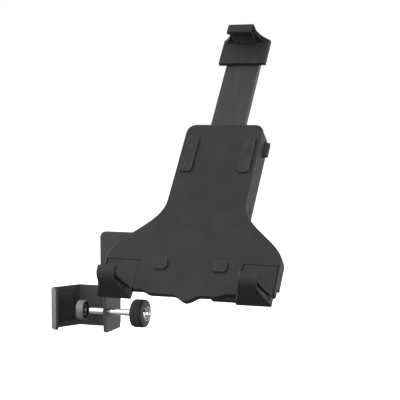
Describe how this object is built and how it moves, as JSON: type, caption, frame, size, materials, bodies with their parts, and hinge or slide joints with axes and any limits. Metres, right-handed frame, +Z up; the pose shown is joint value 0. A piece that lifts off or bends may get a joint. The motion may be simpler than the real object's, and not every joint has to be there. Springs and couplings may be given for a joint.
{
  "type": "clamp-on tablet holder",
  "caption": "Tablet holder with a screw clamp for a tube, a folded arm, a tilting and turning head, lower claws and a sliding upper claw.",
  "frame": {"origin": "axis of the clamped tube at the clamp's mid height", "axes": "+Z up along the clamped tube, -Y towards the user, +X from the clamp to the holder"},
  "size_m": [0.2121, 0.1846, 0.2606],
  "materials": {
    "dark_paint": "satin powder coat",
    "zinc_steel": "zinc plated",
    "chrome_steel": "polished chrome",
    "grey_plastic": "fine grain",
    "black_plastic": "fine grain",
    "soft_rubber": "soft, ribbed"
  },
  "bodies": {
    "clamp": {"clamp_bracket": "dark_paint", "jaw_pad": "soft_rubber", "weld_nut": "dark_paint", "support_arm": "dark_paint", "arm_screws": "zinc_steel", "arm_nuts": "zinc_steel", "tilt_bolt": "zinc_steel", "tilt_washers": "zinc_steel"},
    "thrust": {"thrust_washer": "zinc_steel"},
    "pressure": {"pressure_piece": "grey_plastic"},
    "screw": {"spindle": "chrome_steel", "clamp_knob": "black_plastic", "knob_cap": "chrome_steel"},
    "tilt_head": {"tilt_bracket": "dark_paint"},
    "tilt_lock": {"tilt_knob": "black_plastic", "tilt_knob_cap": "black_plastic"},
    "holder": {"holder_housing": "black_plastic", "rear_cover": "black_plastic", "cover_screws": "zinc_steel", "left_claw": "black_plastic", "right_claw": "black_plastic", "left_claw_liner": "soft_rubber", "right_claw_liner": "soft_rubber", "claw_screws": "zinc_steel", "front_pads": "soft_rubber", "swivel_bolt": "zinc_steel", "swivel_washer": "soft_rubber", "swivel_nut": "zinc_steel", "button_spring": "zinc_steel"},
    "slider": {"slider_arm": "black_plastic", "top_claw": "black_plastic", "top_claw_liner": "soft_rubber", "top_claw_screws": "zinc_steel"},
    "button": {"release_button": "black_plastic"}
  },
  "joints": [
    {"name": "pad_slide", "type": "slide", "parent": "clamp", "child": "thrust", "axis": [1, 0, 0], "range_m": [-0.0145, 0.0135]},
    {"name": "screw_turn", "type": "hinge", "parent": "thrust", "child": "screw", "pos_m": [0, 0, 0], "axis": [1, 0, 0], "range_deg": [-5240, 4880]},
    {"name": "pad_swivel", "type": "hinge", "parent": "thrust", "child": "pressure", "pos_m": [0, 0, 0], "axis": [1, 0, 0], "range_deg": [-90, 90]},
    {"name": "tilt", "type": "hinge", "parent": "clamp", "child": "tilt_head", "pos_m": [0.1246, 0.04735, 0.06821], "axis": [-1, 0, 0], "range_deg": [-12, 40]},
    {"name": "swivel", "type": "hinge", "parent": "tilt_head", "child": "holder", "pos_m": [0.1246, 0.02343, 0.0873], "axis": [0, -0.7815, 0.6239], "continuous": true},
    {"name": "extension", "type": "slide", "parent": "holder", "child": "slider", "axis": [0, 0.6239, 0.7815], "range_m": [-0.062, 0.058]},
    {"name": "release_press", "type": "slide", "parent": "holder", "child": "button", "axis": [-1, 0, 0], "range_m": [0, 0.003], "stiffness_N_per_m": 400, "springref_m": -0.002, "deforming": ["button_spring"]},
    {"name": "tilt_lock_turn", "type": "hinge", "parent": "clamp", "child": "tilt_lock", "pos_m": [0.1246, 0.04735, 0.06821], "axis": [1, 0, 0], "range_deg": [0, 180]}
  ],
  "couplings": [
    {"joint": "screw_turn", "follows": "pad_slide", "rad_per_m": 6283.2}
  ]
}
